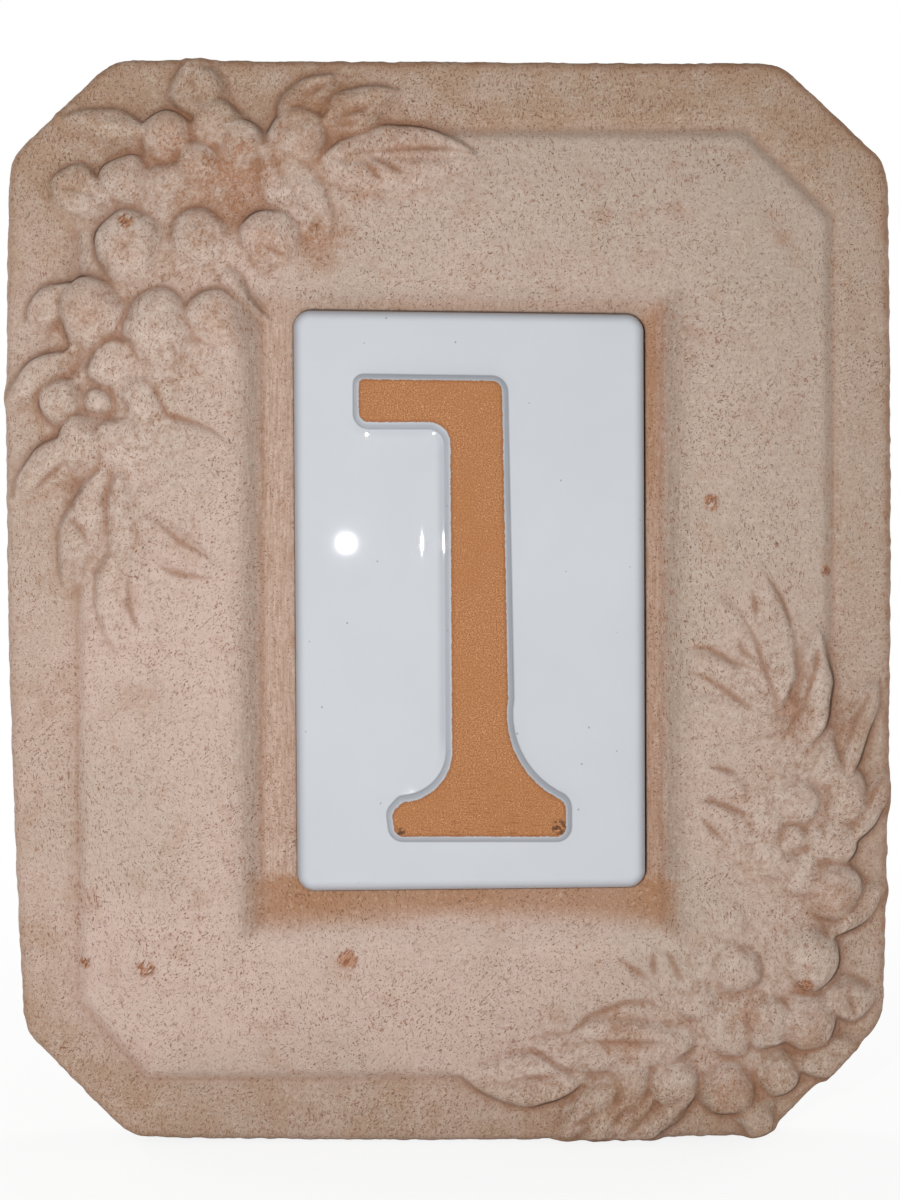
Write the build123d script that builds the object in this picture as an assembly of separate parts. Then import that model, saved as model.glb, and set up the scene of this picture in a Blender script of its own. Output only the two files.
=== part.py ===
from build123d import *
import math
import os

# House number plaque: a moulded terracotta frame with two garlands in relief, and a glazed tile with a
# raised numeral set in a pocket. Millimetres. Pieces are drawn lying down, X to the right and Y up the
# plaque, with heights counted from the flat back, and are stood up against the wall at the end.

# Outline of the frame: ends of the four cut corners, and a point that each bowed side runs through
TOP_LEFT_CUT = [(-99.5, 100.0), (-76.0, 122.3)]
TOP_RIGHT_CUT = [(75.0, 121.5), (99.5, 98.5)]
BOTTOM_RIGHT_CUT = [(98.5, -95.5), (71.5, -121.0)]
BOTTOM_LEFT_CUT = [(-72.0, -121.5), (-96.0, -97.5)]
RIGHT_BOW = (100.2, 13.5)
BOTTOM_BOW = (-11.0, -122.3)
LEFT_BOW = (-100.1, 22.5)
CORNER_RADIUS = 12.0
FRONT_EDGE_RADIUS = 2.0

# Heights of the frame's front above its flat back
BORDER_TOP = 15.0
GROOVE_FOOT = 13.6
PANEL_EDGE = 15.4
PANEL_TOP = 16.4
DISH_FLOOR = 14.2
POCKET_FLOOR = 9.0

# Groove between the border and the panel
GROOVE_LINE = [
    (-66.0, 106.5), (67.0, 106.5), (87.0, 87.0), (87.0, -89.0),
    (69.0, -108.5), (-68.5, -108.5), (-84.0, -90.5), (-84.5, 88.0),
]
BORDER_SLOPE = 2.2
GROOVE_FLAT = 0.5
PANEL_BEVEL = 1.8
PANEL_RISE_WIDTH = 14.0
PANEL_ROOT_DEPTH = 1.6

# Shallow dish round the tile, and the pocket in its floor that the tile sits in
DISH_WIDTH = 90.5
DISH_LENGTH = 141.5
DISH_CENTRE = (3.0, -3.0)
DISH_CORNER = 2.0
DISH_SLOPE = 4.0
DISH_BROW = 6.0
POCKET_GAP = 0.35
POCKET_SHIFT = (0.2, 0.2)

# Relief: a fruit stands up by this share of its smaller half size, a petal or bud by less. Swellings are
# cut in flat facets, so many sides round and so many rings up
FRUIT_RISE = 0.7
DOME_RISE = 0.55
BUTTON_RISE = 0.9
FRUIT_SIDES = 12
FRUIT_RINGS = 3
DOME_SIDES = 10
DOME_RINGS = 2
SWELLING_ROOT = 4.5
LEAF_ROOT = 11.6
LEAF_ROOT_STEP = 0.04
LEAF_STATIONS = [0.15, 0.38, 0.62, 0.85]
LEAF_CROWN_SHARE = 0.16
VEIN_SHARE = 0.6
VEIN_WIDTH = 1.4
BROAD_LEAF_WIDTH = 8.0

# Height of a leaf at its base and at its tip, and the most that its edges fall below its ridge. The low
# leaves hardly stand out of the panel
RAISED_LEAF = (19.2, 17.5, 1.2)
LOW_LEAF = (17.8, 17.1, 0.5)

# Fruits: centre x, y, half width, half height
UPPER_FRUITS = [
    (-63.0, 104.5, 5.5, 5.5), (-52.5, 107.0, 5.0, 5.0), (-56.0, 98.5, 4.5, 4.5), (-46.5, 102.5, 5.0, 5.0),
    (-62.7, 94.2, 6.0, 4.5), (-72.5, 94.5, 5.5, 5.5), (-71.5, 79.5, 7.5, 8.5), (-56.0, 81.5, 6.5, 6.5),
    (-40.0, 81.0, 7.0, 6.0), (-34.0, 104.0, 6.5, 6.5), (-80.0, 64.5, 7.5, 7.5), (-65.0, 61.0, 8.0, 9.0),
    (-53.0, 63.0, 6.5, 6.5),
]
LOWER_FRUITS = [
    (89.5, -44.0, 4.0, 6.0), (88.0, -54.0, 4.0, 5.5), (86.5, -65.5, 6.0, 6.0), (81.0, -80.5, 6.5, 6.5),
    (80.0, -94.0, 6.5, 6.5), (72.0, -94.5, 6.0, 6.0), (74.0, -106.5, 4.5, 4.5), (69.0, -116.0, 4.0, 4.0),
    (50.5, -108.5, 5.5, 5.5), (63.0, -110.0, 5.5, 5.5), (64.5, -82.5, 5.5, 5.5), (85.0, -37.0, 3.0, 4.5),
    (41.0, -109.0, 4.0, 5.5),
]

# Low domes as x, y, radius: the petals of each flower, and buds that hardly stand out
UPPER_PETALS = [
    (-75.0, 53.5, 5.5), (-68.5, 45.0, 5.0), (-74.0, 35.5, 5.0), (-83.3, 35.7, 4.7), (-87.5, 44.5, 4.5),
]
LOWER_PETALS = [
    (78.5, -45.5, 4.5), (71.5, -49.5, 4.0), (72.5, -58.0, 4.5), (79.0, -61.0, 4.0), (84.0, -54.5, 4.0),
]
LOWER_BUDS = [(63.0, -98.5, 4.5), (55.5, -89.5, 4.5)]

# Round button in the middle of each flower: x, y, radius
UPPER_BUTTON = (-79.0, 44.5, 3.0)
LOWER_BUTTON = (77.5, -53.5, 2.5)

# Leaves: base x, y, tip x, y, width
UPPER_LEAVES = [
    (-55.5, 108.5, -57.5, 121.5, 11.5), (-66.3, 104.7, -86.0, 108.5, 7.5), (-76.0, 90.0, -89.5, 93.5, 11.5),
    (-38.5, 106.0, -25.5, 118.5, 9.0), (-29.0, 105.5, -12.0, 115.0, 10.5), (-28.5, 98.5, 6.5, 99.0, 16.5),
    (-42.0, 103.0, -26.5, 79.5, 13.0), (-82.5, 70.0, -95.0, 62.5, 8.5), (-87.0, 55.5, -99.0, 44.0, 6.0),
    (-84.5, 36.5, -97.5, 23.5, 6.5), (-45.5, 68.5, -52.5, 75.0, 6.0),
]
UPPER_LOW_LEAVES = [
    (-78.5, 29.0, -86.5, 4.5, 7.5), (-74.5, 28.5, -72.0, 2.5, 6.0), (-75.5, 10.0, -73.5, -13.0, 8.5),
    (-70.0, 18.5, -51.5, 4.5, 9.0), (-69.5, 38.0, -48.5, 33.5, 7.5),
]
LOWER_LEAVES = [
    (81.5, -32.0, 83.0, -6.5, 8.0), (89.5, -37.5, 96.5, -19.5, 5.5), (91.5, -54.0, 98.0, -39.0, 5.0),
    (87.0, -75.0, 98.0, -63.5, 6.5), (84.5, -90.0, 95.5, -90.0, 9.5), (78.5, -105.0, 91.5, -100.0, 8.5),
    (29.5, -109.0, 3.5, -107.5, 11.0), (54.5, -100.0, 18.5, -100.5, 13.5), (37.0, -109.5, 25.0, -120.0, 7.0),
    (41.0, -111.5, 31.5, -121.0, 6.0), (46.0, -112.5, 37.0, -121.0, 5.5), (55.5, -110.5, 41.5, -121.0, 5.5),
]
LOWER_LOW_LEAVES = [
    (74.0, -23.5, 69.0, 9.0, 10.5), (72.5, -20.0, 61.0, 0.0, 6.5), (74.5, -24.0, 53.5, -12.5, 8.0),
    (76.5, -28.5, 53.0, -23.5, 9.0), (69.5, -58.5, 55.5, -45.0, 10.5), (66.5, -44.0, 57.5, -37.5, 5.5),
    (54.5, -87.5, 37.5, -81.0, 6.0), (53.5, -86.0, 45.0, -78.0, 4.5), (66.5, -75.5, 59.0, -66.5, 6.5),
]

# Tile and the bed that holds it
TILE_CORNERS = [(-35.0, 65.2), (43.9, 64.2), (44.3, -64.6), (-34.0, -65.5)]
TILE_CORNER_RADIUS = 4.0
TILE_FRONT_RADIUS = 2.5
TILE_THICKNESS = 8.0
BED_THICKNESS = 1.0
BED_WIDTH = 72.0
BED_LENGTH = 122.0
BED_CENTRE = (4.8, -0.2)
BED_CORNER = 6.0

# Numeral on the tile
NUMERAL_RISE = 2.2
NUMERAL_FLARE = 1.2
NUMERAL_CORNER = 1.5
NUMERAL_ROOT = 0.4
FLAG_LEFT = -20.0
FLAG_TOP = 49.2
FLAG_UNDER = 39.6
FLAG_CURVE_START = (-5.0, 39.6)
FLAG_CURVE_MIDDLE = (-0.9, 38.1)
FLAG_CURVE_END = (0.4, 34.5)
STEM_LEFT_FOOT = (0.8, -32.5)
STEM_RIGHT_HEAD = (11.9, 48.8)
STEM_RIGHT_FOOT = (13.3, -22.0)
FOOT_LEFT_CURVE = (-1.7, -40.8)
FOOT_LEFT_TOP = (-10.4, -45.0)
FOOT_LEFT_END = (-12.6, -47.5)
FOOT_LEFT_HEEL = (-11.9, -52.7)
FOOT_RIGHT_CURVE = (16.4, -36.9)
FOOT_RIGHT_TOP = (26.2, -45.0)
FOOT_RIGHT_HEEL = (26.2, -52.7)


def bowed_outline():
    """Outline of the frame: a straight top, three bowed sides, four cut corners and eight rounded turns."""
    edges = [
        Line(TOP_LEFT_CUT[1], TOP_RIGHT_CUT[0]),
        Line(*TOP_RIGHT_CUT),
        ThreePointArc(TOP_RIGHT_CUT[1], RIGHT_BOW, BOTTOM_RIGHT_CUT[0]),
        Line(*BOTTOM_RIGHT_CUT),
        ThreePointArc(BOTTOM_RIGHT_CUT[1], BOTTOM_BOW, BOTTOM_LEFT_CUT[0]),
        Line(*BOTTOM_LEFT_CUT),
        ThreePointArc(BOTTOM_LEFT_CUT[1], LEFT_BOW, TOP_LEFT_CUT[0]),
        Line(*TOP_LEFT_CUT),
    ]
    sharp = make_face(edges)
    return fillet(sharp.vertices(), CORNER_RADIUS)


def groove_section(shift, height):
    """The groove line moved outward by shift, as a face at one height."""
    line = make_face(Polyline(*GROOVE_LINE, close=True))
    return Pos(0, 0, height) * offset(line, shift, kind=Kind.INTERSECTION)


def plain_frame():
    """Border, groove, raised panel, dish and pocket, before the relief is laid on."""
    slab = extrude(bowed_outline(), amount=BORDER_TOP)
    slab = fillet(slab.edges().group_by(Axis.Z)[-1], FRONT_EDGE_RADIUS)

    groove_depth = BORDER_TOP - GROOVE_FOOT
    groove = loft(
        [groove_section(0, GROOVE_FOOT), groove_section(2 * BORDER_SLOPE, GROOVE_FOOT + 2 * groove_depth)],
        ruled=True,
    )
    bevel_slope = PANEL_BEVEL / (PANEL_EDGE - GROOVE_FOOT)
    panel = loft(
        [
            groove_section(PANEL_ROOT_DEPTH * bevel_slope - GROOVE_FLAT, GROOVE_FOOT - PANEL_ROOT_DEPTH),
            groove_section(-PANEL_BEVEL - GROOVE_FLAT, PANEL_EDGE),
            groove_section(-PANEL_RISE_WIDTH, PANEL_TOP),
        ],
        ruled=True,
    )
    dish = loft(
        [dish_section(0, DISH_FLOOR), dish_section(2 * DISH_SLOPE, 2 * PANEL_TOP - DISH_FLOOR)],
        ruled=True,
    )
    pocket = Pos(*POCKET_SHIFT, POCKET_FLOOR) * extrude(offset(tile_plan(), POCKET_GAP), amount=PANEL_TOP)

    solid = slab - groove + panel - dish
    brow = solid.edges().group_by(Axis.Z)[-1].filter_by(on_dish_rim)
    return fillet(brow, DISH_BROW) - pocket


def dish_section(spread, height):
    """The floor of the dish widened by so much all round, as a face at one height."""
    plan = RectangleRounded(DISH_WIDTH + 2 * spread, DISH_LENGTH + 2 * spread, DISH_CORNER + spread)
    return Pos(*DISH_CENTRE, height) * plan


def on_dish_rim(edge):
    """Whether an edge of the panel's top runs round the dish."""
    away = edge.center() - Vector(*DISH_CENTRE)
    reach = DISH_SLOPE + 1
    return abs(away.X) < DISH_WIDTH / 2 + reach and abs(away.Y) < DISH_LENGTH / 2 + reach


def swelling(x, y, half_width, half_height, rise, sides, rings):
    """A round or long swelling on the panel, with upright sides below the panel's top."""
    corners = [(x, y, PANEL_TOP + rise)]
    for ring in range(-1, rings):
        lean = math.pi / 2 * max(ring, 0) / rings
        lift = PANEL_TOP + rise * math.sin(lean) if ring >= 0 else PANEL_TOP - SWELLING_ROOT
        for side in range(sides):
            turn = 2 * math.pi * (side + max(ring, 0) / 2) / sides
            across = half_width * math.cos(lean) * math.cos(turn)
            up = half_height * math.cos(lean) * math.sin(turn)
            corners.append((x + across, y + up, lift))
    return ConvexPolyhedron(corners)


def fruit(x, y, half_width, half_height):
    rise = FRUIT_RISE * min(half_width, half_height)
    return swelling(x, y, half_width, half_height, rise, FRUIT_SIDES, FRUIT_RINGS)


def low_dome(x, y, radius, share):
    return swelling(x, y, radius, radius, share * radius, DOME_SIDES, DOME_RINGS)


def leaf(base_x, base_y, tip_x, tip_y, width, heights, root):
    """A pointed leaf that falls from base to tip: ridged if it is narrow, crowned with a midrib if broad."""
    base_top, tip_top, deepest_crown = heights
    length = math.hypot(tip_x - base_x, tip_y - base_y)
    heading = math.degrees(math.atan2(tip_y - base_y, tip_x - base_x))
    half = width / 2
    crown = min(LEAF_CROWN_SHARE * width, deepest_crown)
    edge = [(share * length, 4 * share * (1 - share) * half) for share in LEAF_STATIONS]
    far_edge = [(along, -across) for along, across in reversed(edge)]
    blade = make_face(Polyline((0, 0), *edge, (length, 0), *far_edge, close=True))
    block = Pos(0, 0, root) * extrude(blade, amount=base_top - root)
    ridge = Vector(length, 0, tip_top - base_top)
    across_ridge = Plane(origin=(0, 0, base_top), x_dir=(0, 1, 0), z_dir=ridge)

    top = [(-half, -crown), (0, 0), (half, -crown)]
    if width >= BROAD_LEAF_WIDTH:
        shoulder = crown / 4
        vein = crown * VEIN_SHARE
        top = [(-half, -crown), (-half / 2, -shoulder), (-VEIN_WIDTH, 0), (0, -vein), (VEIN_WIDTH, 0),
               (half / 2, -shoulder), (half, -crown)]
    profile = make_face(Polyline((-half, -base_top), *top, (half, -base_top), close=True))
    roof = extrude(across_ridge * profile, amount=2 * length, both=True)
    return Pos(base_x, base_y, 0) * Rot(0, 0, heading) * (block & roof)


def garland(fruits, domes, button, leaves, low_leaves):
    """All the swellings and leaves of one garland, the roots of the leaves each a little deeper."""
    pieces = [fruit(*sizes) for sizes in fruits]
    pieces += [low_dome(*sizes, DOME_RISE) for sizes in domes]
    pieces.append(low_dome(*button, BUTTON_RISE))
    blades = [(sizes, RAISED_LEAF) for sizes in leaves] + [(sizes, LOW_LEAF) for sizes in low_leaves]
    for place, (sizes, heights) in enumerate(blades):
        pieces.append(leaf(*sizes, heights, LEAF_ROOT - LEAF_ROOT_STEP * place))
    return pieces


def terracotta_frame():
    relief = garland(UPPER_FRUITS, UPPER_PETALS, UPPER_BUTTON, UPPER_LEAVES, UPPER_LOW_LEAVES)
    relief += garland(LOWER_FRUITS, LOWER_PETALS + LOWER_BUDS, LOWER_BUTTON, LOWER_LEAVES, LOWER_LOW_LEAVES)
    return plain_frame() + relief


def numeral_outline():
    """Top outline of the numeral: a flag to the left, a stem that widens downward, and a flared foot."""
    edges = [
        Polyline(FLAG_CURVE_START, (FLAG_LEFT, FLAG_UNDER), (FLAG_LEFT, FLAG_TOP), STEM_RIGHT_HEAD,
                 STEM_RIGHT_FOOT),
        ThreePointArc(STEM_RIGHT_FOOT, FOOT_RIGHT_CURVE, FOOT_RIGHT_TOP),
        Polyline(FOOT_RIGHT_TOP, FOOT_RIGHT_HEEL, FOOT_LEFT_HEEL, FOOT_LEFT_END, FOOT_LEFT_TOP),
        ThreePointArc(FOOT_LEFT_TOP, FOOT_LEFT_CURVE, STEM_LEFT_FOOT),
        Line(STEM_LEFT_FOOT, FLAG_CURVE_END),
        ThreePointArc(FLAG_CURVE_END, FLAG_CURVE_MIDDLE, FLAG_CURVE_START),
    ]
    return make_face(edges)


def tile_plan():
    corners = make_face(Polyline(*TILE_CORNERS, close=True))
    return fillet(corners.vertices(), TILE_CORNER_RADIUS)


def number_tile():
    """The glazed slab with its rounded edges and the numeral that swells up from its face."""
    floor = POCKET_FLOOR + BED_THICKNESS
    slab = Pos(0, 0, floor) * extrude(tile_plan(), amount=TILE_THICKNESS)
    slab = fillet(slab.edges().group_by(Axis.Z)[-1], TILE_FRONT_RADIUS)

    face_height = floor + TILE_THICKNESS
    core = offset(numeral_outline(), -NUMERAL_CORNER, kind=Kind.INTERSECTION)
    foot = offset(core, NUMERAL_CORNER + NUMERAL_FLARE, kind=Kind.ARC)
    flare = math.degrees(math.atan(NUMERAL_FLARE / (NUMERAL_RISE + NUMERAL_ROOT)))
    numeral = Pos(0, 0, face_height - NUMERAL_ROOT) * extrude(foot, NUMERAL_RISE + NUMERAL_ROOT, taper=flare)
    return slab + numeral


def adhesive_bed():
    plan = RectangleRounded(BED_WIDTH, BED_LENGTH, BED_CORNER)
    return Pos(*BED_CENTRE, POCKET_FLOOR) * extrude(plan, amount=BED_THICKNESS)


def stand_up(piece):
    """Turn a piece drawn lying down so that its back faces the wall and its top points up."""
    return Rot(90, 0, 0) * piece


os.makedirs("parts", exist_ok=True)
export_step(stand_up(terracotta_frame()), "parts/terracotta_frame.step")
export_step(stand_up(number_tile()), "parts/number_tile.step")
export_step(stand_up(adhesive_bed()), "parts/adhesive_bed.step")
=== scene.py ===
from math import acos, atan2, cos, hypot, pi, sin, tan

import bpy
import numpy as np
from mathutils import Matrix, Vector


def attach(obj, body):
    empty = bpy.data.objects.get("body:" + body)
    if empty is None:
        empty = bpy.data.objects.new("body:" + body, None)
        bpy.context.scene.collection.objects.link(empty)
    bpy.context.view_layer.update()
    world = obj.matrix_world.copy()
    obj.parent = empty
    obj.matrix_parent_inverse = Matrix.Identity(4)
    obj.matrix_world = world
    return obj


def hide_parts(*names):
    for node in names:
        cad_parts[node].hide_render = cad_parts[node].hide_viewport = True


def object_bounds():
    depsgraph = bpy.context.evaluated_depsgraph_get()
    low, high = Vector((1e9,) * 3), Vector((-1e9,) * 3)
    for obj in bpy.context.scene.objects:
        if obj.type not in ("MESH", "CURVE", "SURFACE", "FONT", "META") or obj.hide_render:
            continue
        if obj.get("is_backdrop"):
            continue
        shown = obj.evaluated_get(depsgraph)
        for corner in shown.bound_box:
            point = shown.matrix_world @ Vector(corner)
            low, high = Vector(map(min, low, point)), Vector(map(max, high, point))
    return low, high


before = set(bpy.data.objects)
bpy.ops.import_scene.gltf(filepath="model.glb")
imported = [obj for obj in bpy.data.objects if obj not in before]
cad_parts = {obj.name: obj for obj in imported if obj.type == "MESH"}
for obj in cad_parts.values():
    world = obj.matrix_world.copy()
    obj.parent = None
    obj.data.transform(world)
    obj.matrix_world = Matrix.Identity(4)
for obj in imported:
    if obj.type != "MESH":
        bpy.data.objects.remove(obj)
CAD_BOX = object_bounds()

# House number plaque: a moulded terracotta frame with two worn garlands, and a glazed tile with a raised
# numeral in a pocket. Sizes are millimetres, X to the right, Z up, heights counted forward from the flat
# back, and points become metres in the frame of the CAD when a mesh is made.

MM = 0.001

# Outline of the frame: ends of the four cut corners, and a point that each bowed side runs through
TOP_LEFT_CUT = [(-99.5, 100), (-76, 122.3)]
TOP_RIGHT_CUT = [(75, 121.5), (99.5, 98.5)]
BOTTOM_RIGHT_CUT = [(98.5, -95.5), (71.5, -121)]
BOTTOM_LEFT_CUT = [(-72, -121.5), (-96, -97.5)]
RIGHT_BOW = (100.2, 13.5)
BOTTOM_BOW = (-11.0, -122.3)
LEFT_BOW = (-100.1, 22.5)
CORNER_RADIUS = 12.0
FRONT_EDGE_RADIUS = 2.0
BACK_EDGE_RADIUS = 0.5
BACK_EDGE_TURN = 0.5
BACK_EDGE_LEVEL = 2.0
EDGE_WEAR = 0.26
LEAST_WEAR = 0.02

# Heights of the frame's front above its flat back
BORDER_TOP = 15.0
GROOVE_FOOT = 13.6
PANEL_EDGE = 15.4
PANEL_TOP = 16.4
DISH_FLOOR = 14.2
POCKET_FLOOR = 9.0

# Groove between the border and the panel
GROOVE_LINE = [
    (-66, 106.5), (67, 106.5), (87, 87), (87, -89), (69, -108.5), (-68.5, -108.5), (-84, -90.5),
    (-84.5, 88),
]
BORDER_SLOPE = 2.2
GROOVE_FLAT = 0.5
PANEL_BEVEL = 1.8
PANEL_RISE_WIDTH = 14.0
GROOVE_SOFTNESS = 0.6

# Shallow dish round the tile, and the pocket in its floor that the tile sits in
DISH_WIDTH = 90.5
DISH_LENGTH = 141.5
DISH_CENTRE = (3.0, -3.0)
DISH_CORNER = 2.0
DISH_SLOPE = 4.0
DISH_BROW = 4.0
DISH_SOFTNESS = 1.0
# Width of the ochre wedge under the tile, at places along X
OCHRE_WEDGE = ([-43, 0, 25, 45], [11.5, 8.5, 8.5, 11.0])
POCKET_GAP = 0.35
POCKET_SHIFT = (0.2, 0.2)
POCKET_EDGE_RADIUS = 0.4

# Relief
FRUIT_RISE = 0.7
DOME_RISE = 0.55
BUTTON_RISE = 0.9
# Leaves: heights at base and tip, and the deepest crown
LEAF_FORM = ((19.2, 17.5), 1.2)
LOW_LEAF_FORM = ((17.8, 17.1), 0.5)
LEAF_CROWN_SHARE = 0.16
BROAD_LEAF_WIDTH = 8.0
BODY_RISE = 1.7
BODY_SOFTNESS = 3.5
BODY_SHIFT = 2.5
BODY_LIFT = 0.7
FLOWER_GROUND = 16.2
FLOWER_REACH = (10.5, 6.5)
TALLEST = 21.95

# Wear of the relief: how fruits and leaves round off, fall on their inner and outer sides, and meet the face
FRUIT_MARGIN = 6.0
FRUIT_ROUNDING = 0.8
OUTER_ROUNDING = 0.3
INNER_FALL = 0.9
OUTER_FALL = 5.0
FRUIT_CREASE = 0.5
LEAF_EDGE_WIDTH = 1.6
LEAF_INNER_FALL = 0.45
LEAF_OUTER_FALL = 2.2
LEAF_CREASE = 0.4
MIDRIB_SHARE = 0.5
MIDRIB_WIDTH = 0.9
BRANCH_SHARE = 0.15
BRANCH_LEAN = 0.9
BRANCH_SPACING = 0.34
VEIN_END = 0.35
FACE_WEAR = 0.35
# Unevenness of the clay and the glaze: seed, size of the bumps, depth
HAND_SWAY_X = (11, 2.2, 0.7)
HAND_SWAY_Z = (12, 2.2, 0.7)
LUMPS = (21, 2.2, 0.3)
FINE_LUMPS = (22, 0.7, 0.1)
SWAY = (23, 9.0, 0.14)
FINE_SWAY = (24, 1.2, 0.03)
DISH_LUMPS = (25, 3.5, 0.1)
GLAZE_WAVES = (41, 7.0, 0.006)

# Fruits: centre x, z, half width, half height
UPPER_FRUITS = [
    (-63, 104.5, 5.5, 5.5), (-52.5, 107, 5, 5), (-56, 98.5, 4.5, 4.5), (-46.5, 102.5, 5, 5),
    (-62.7, 94.2, 6, 4.5), (-72.5, 94.5, 5.5, 5.5), (-71.5, 79.5, 7.5, 8.5), (-56, 81.5, 6.5, 6.5),
    (-40, 81, 7, 6), (-34, 104, 6.5, 6.5), (-80, 64.5, 7.5, 7.5), (-65, 61, 8, 9), (-53, 63, 6.5, 6.5),
]
LOWER_FRUITS = [
    (89.5, -44, 4, 6), (88, -54, 4, 5.5), (86.5, -65.5, 6, 6), (81, -80.5, 6.5, 6.5), (80, -94, 6.5, 6.5),
    (72, -94.5, 6, 6), (74, -106.5, 4.5, 4.5), (69, -116, 4, 4), (50.5, -108.5, 5.5, 5.5),
    (63, -110, 5.5, 5.5), (64.5, -82.5, 5.5, 5.5), (85, -37, 3, 4.5), (41, -109, 4, 5.5),
]

# Low domes as x, z, radius: the petals of each flower, and buds that hardly stand out
UPPER_PETALS = [
    (-75, 53.5, 5.5), (-68.5, 45, 5), (-74, 35.5, 5), (-83.3, 35.7, 4.7), (-87.5, 44.5, 4.5),
]
LOWER_PETALS = [
    (78.5, -45.5, 4.5), (71.5, -49.5, 4), (72.5, -58, 4.5), (79, -61, 4), (84, -54.5, 4),
]
LOWER_BUDS = [(63, -98.5, 4.5), (55.5, -89.5, 4.5)]
BUTTONS = [(-79, 44.5, 3), (77.5, -53.5, 2.5)]

# Leaves: base x, z, tip x, z, width. The low ones hardly stand out of the panel
LEAVES = [
    (-55.5, 108.5, -57.5, 121.5, 11.5), (-66.3, 104.7, -86, 108.5, 7.5), (-76, 90, -89.5, 93.5, 11.5),
    (-38.5, 106, -25.5, 118.5, 9), (-29, 105.5, -12, 115, 10.5), (-28.5, 98.5, 6.5, 99, 16.5),
    (-42, 103, -26.5, 79.5, 13), (-82.5, 70, -95, 62.5, 8.5), (-87, 55.5, -99, 44, 6),
    (-84.5, 36.5, -97.5, 23.5, 6.5), (-45.5, 68.5, -52.5, 75, 6), (81.5, -32, 83, -6.5, 8),
    (89.5, -37.5, 96.5, -19.5, 5.5), (91.5, -54, 98, -39, 5), (87, -75, 98, -63.5, 6.5),
    (84.5, -90, 95.5, -90, 9.5), (78.5, -105, 91.5, -100, 8.5), (29.5, -109, 3.5, -107.5, 11),
    (54.5, -100, 18.5, -100.5, 13.5), (37, -109.5, 25, -120, 7), (41, -111.5, 31.5, -121, 6),
    (46, -112.5, 37, -121, 5.5), (55.5, -110.5, 41.5, -121, 5.5),
]
LOW_LEAVES = [
    (-78.5, 29, -86.5, 4.5, 7.5), (-74.5, 28.5, -72, 2.5, 6), (-75.5, 10, -73.5, -13, 8.5),
    (-70, 18.5, -51.5, 4.5, 9), (-69.5, 38, -48.5, 33.5, 7.5), (74, -23.5, 69, 9, 10.5),
    (72.5, -20, 61, 0, 6.5), (74.5, -24, 53.5, -12.5, 8), (76.5, -28.5, 53, -23.5, 9),
    (69.5, -58.5, 55.5, -45, 10.5), (66.5, -44, 57.5, -37.5, 5.5), (54.5, -87.5, 37.5, -81, 6),
    (53.5, -86, 45, -78, 4.5), (66.5, -75.5, 59, -66.5, 6.5),
]

# Lines pressed in the leaves and between them: points along each line
VEIN_LINES = [
    [(-23.2, 99.6), (-10.9, 101), (-1.9, 101.4), (4.8, 100.5)], [(-17.6, 99.6), (-9.1, 95.4)],
    [(-19.4, 98.5), (-14.9, 94)], [(-32.8, 113.1), (-26.5, 116.4)], [(-24.3, 108.6), (-16.5, 111.3)],
    [(-26.5, 105.7), (-19.8, 107.5)], [(-41.8, 79.3), (-37.1, 77.2)], [(-48.9, 111.9), (-45.6, 108.6)],
    [(-80.1, 53), (-78.9, 57.1), (-75, 59.1), (-71.2, 57.9), (-69.5, 54.1)],
    [(-69.4, 50), (-66.6, 48.7), (-64.8, 45.3), (-63.2, 41.5), (-58.1, 40.3), (-53.2, 38.3), (-50.5, 36.3)],
    [(-65.3, 17.6), (-60.2, 13), (-53.5, 9.4)], [(-65.3, 8.1), (-62.2, 6.3), (-59.1, 5.5), (-52.4, 4.7)],
    [(-72, 6), (-71.6, -1.7), (-69.9, -6.3)], [(-85.8, 19.1), (-82.8, 16.3), (-80.7, 12.4)],
    [(-75.6, 26.6), (-77.4, 23), (-77.1, 18.3)], [(-94.6, 33.2), (-91, 35.3), (-87.1, 37.1)],
    [(-93, 24.5), (-89.4, 28.1), (-85.8, 31.2)], [(70, 7), (73, 3.5), (75.5, -1), (77, -5), (76.5, -7)],
    [(65.5, -2.5), (69, -9), (70, -13), (72.5, -19.5), (74, -27)], [(68, 2.5), (69, -1), (69, -4.5)],
    [(65, -8), (66, -11.5), (70, -14)], [(54, -10.5), (59, -11), (63, -13.5), (70, -16)],
    [(53.5, -16), (58, -17.5), (65.5, -22.5), (68, -25)],
    [(80.5, -14.5), (81.5, -17), (79.5, -24), (75, -31.5)], [(77, -18.5), (77.5, -22), (79, -24)],
    [(83, -10.5), (82.5, -14.5), (81.5, -18)], [(94.5, -21), (91.5, -26.5), (88, -36)],
    [(97.5, -40), (95, -43.5), (92.5, -49.5)], [(56.5, -48.5), (62, -54.5)],
    [(56, -45.5), (59, -45), (65.5, -47.5), (68, -51.5)], [(58.5, -37.5), (62, -38), (65, -39)],
    [(37.9, -80.4), (42, -83.2), (45.4, -85.6)], [(45.8, -78.7), (46.1, -84.5)],
    [(48.9, -78.4), (50.9, -82.5), (52.7, -85.9)],
    [(18, -98.6), (27.4, -96.9), (31.7, -93.6), (39.4, -90.6), (44.6, -90.2), (48.9, -92.6)],
    [(13.8, -107.5), (25, -106.6)], [(29.4, -99), (49.6, -99)], [(89.4, -87.3), (91.5, -94)],
    [(26.1, -118.7), (35, -114.2)], [(40.2, -113.1), (36.2, -118.7)], [(45.6, -114.6), (39.5, -120.5)],
    [(56.3, -111.5), (48.5, -118.7)],
]
VEIN_LINE_DEPTH = 0.6
VEIN_LINE_WIDTH = 0.75

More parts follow.
